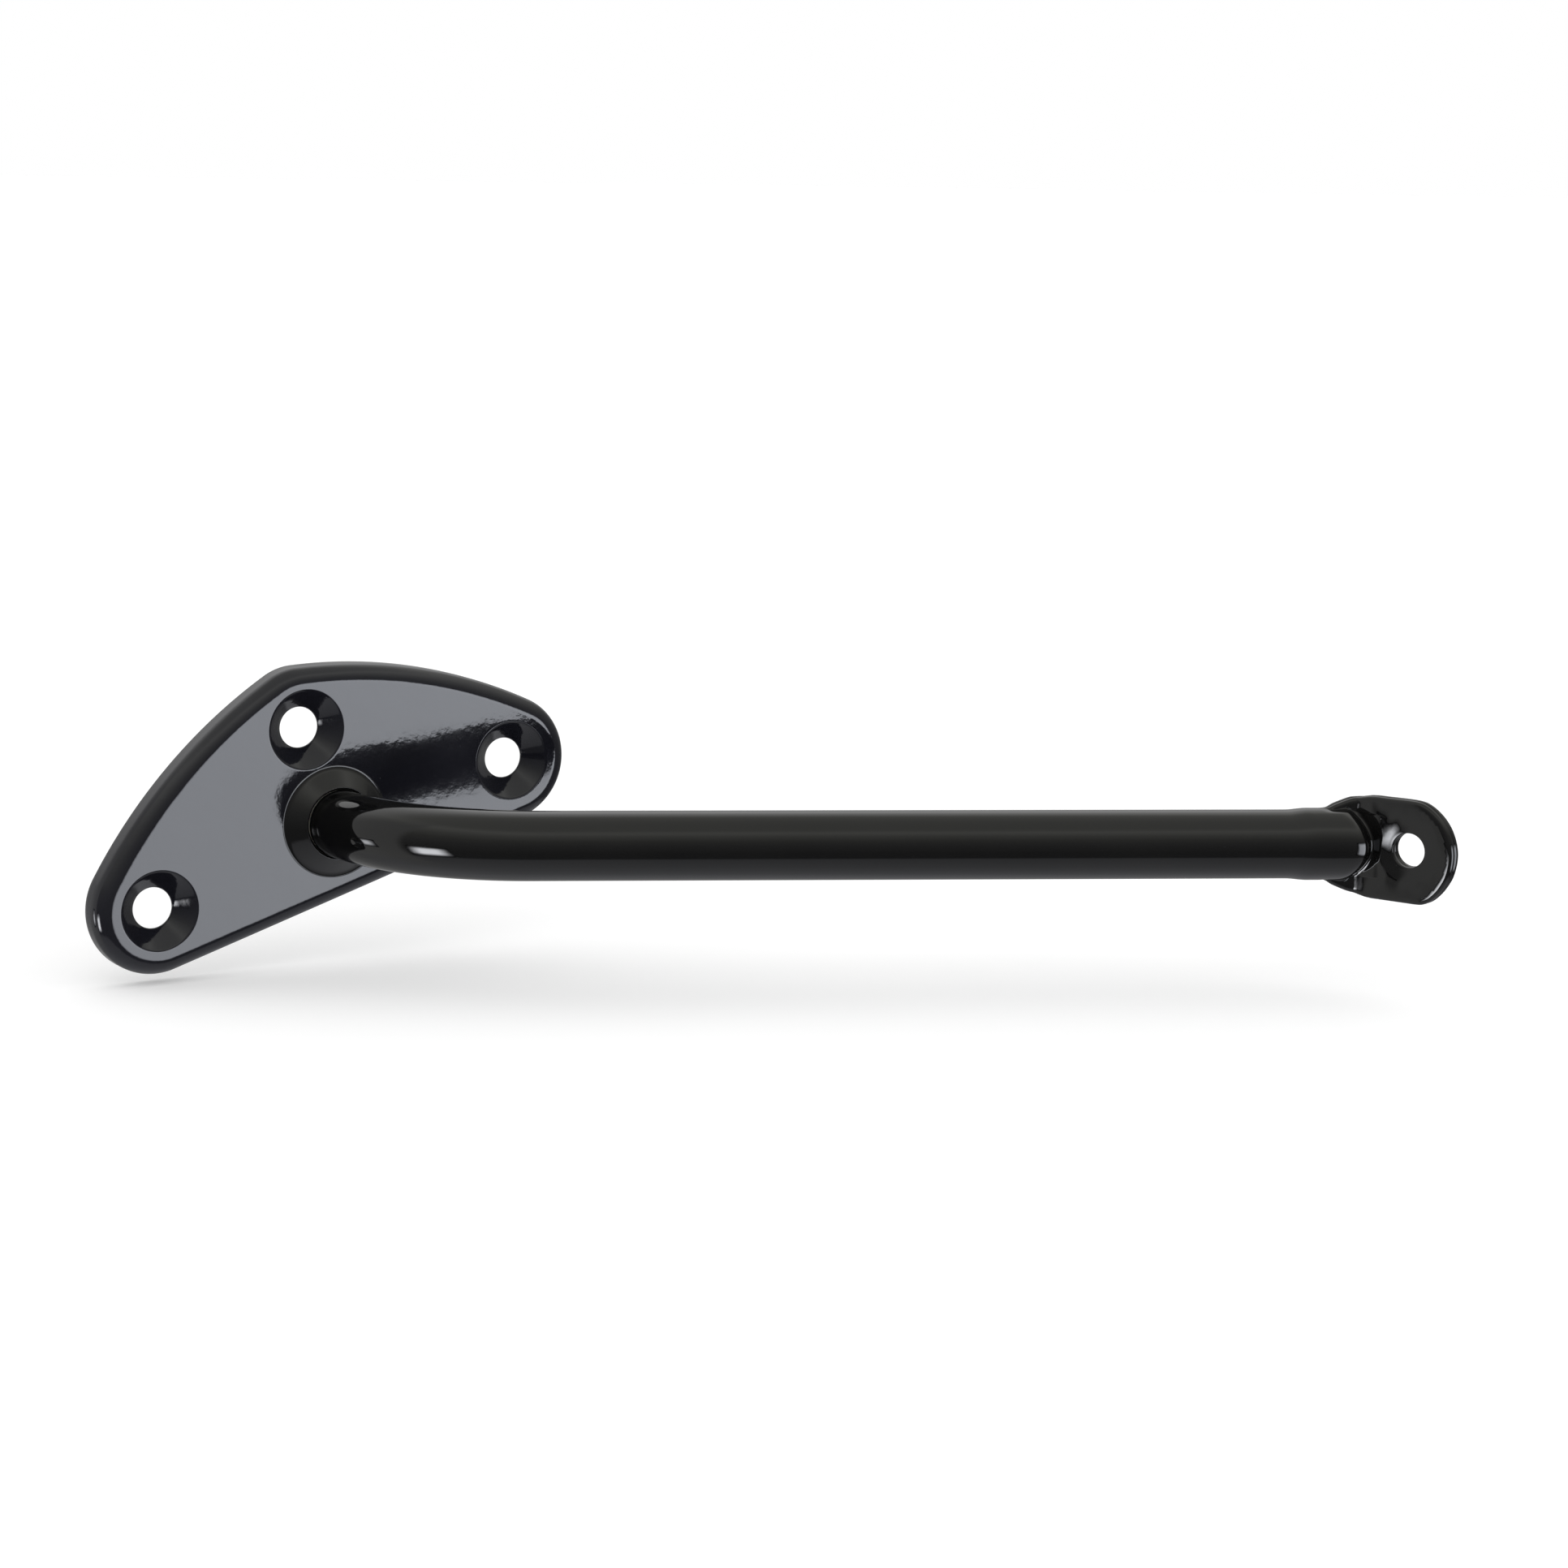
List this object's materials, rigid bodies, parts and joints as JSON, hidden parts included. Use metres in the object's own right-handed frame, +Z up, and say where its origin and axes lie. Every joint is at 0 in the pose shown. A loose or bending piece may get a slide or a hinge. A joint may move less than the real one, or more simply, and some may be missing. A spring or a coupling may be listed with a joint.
{
  "type": "casement window stay",
  "caption": "Swivelling tubular stay arm: rounded triangular wall plate with countersunk holes, conical collar, bent steel tube and a flattened, folded eye end.",
  "frame": {"origin": "where the swivel axis meets the wall plane, behind the middle of the plate", "axes": "+Y into the wall, so the plate faces -Y; +Z up; +X the way the arm points"},
  "size_m": [0.2358, 0.1423, 0.0608],
  "materials": {
    "black_paint": "gloss black stoving paint on the plate",
    "black_paint_collar": "gloss black stoving paint on the collar",
    "black_paint_arm": "gloss black stoving paint on the tube",
    "bush_plastic": "black acetal, turned",
    "zinc_steel": "turned steel, clear zinc plated",
    "spring_steel": "phosphated spring steel"
  },
  "bodies": {
    "plate": {"base_plate": "black_paint", "boss_collar": "black_paint_collar", "front_bush": "bush_plastic", "rear_bush": "bush_plastic"},
    "arm": {"arm_tube": "black_paint_arm", "pivot_spigot": "zinc_steel", "thrust_washer": "zinc_steel", "disc_spring": "spring_steel", "retaining_ring": "spring_steel"}
  },
  "joints": [
    {"name": "arm_swivel", "type": "hinge", "parent": "plate", "child": "arm", "pos_m": [0, -0.0065, 0], "axis": [0, -1, 0], "continuous": true}
  ]
}
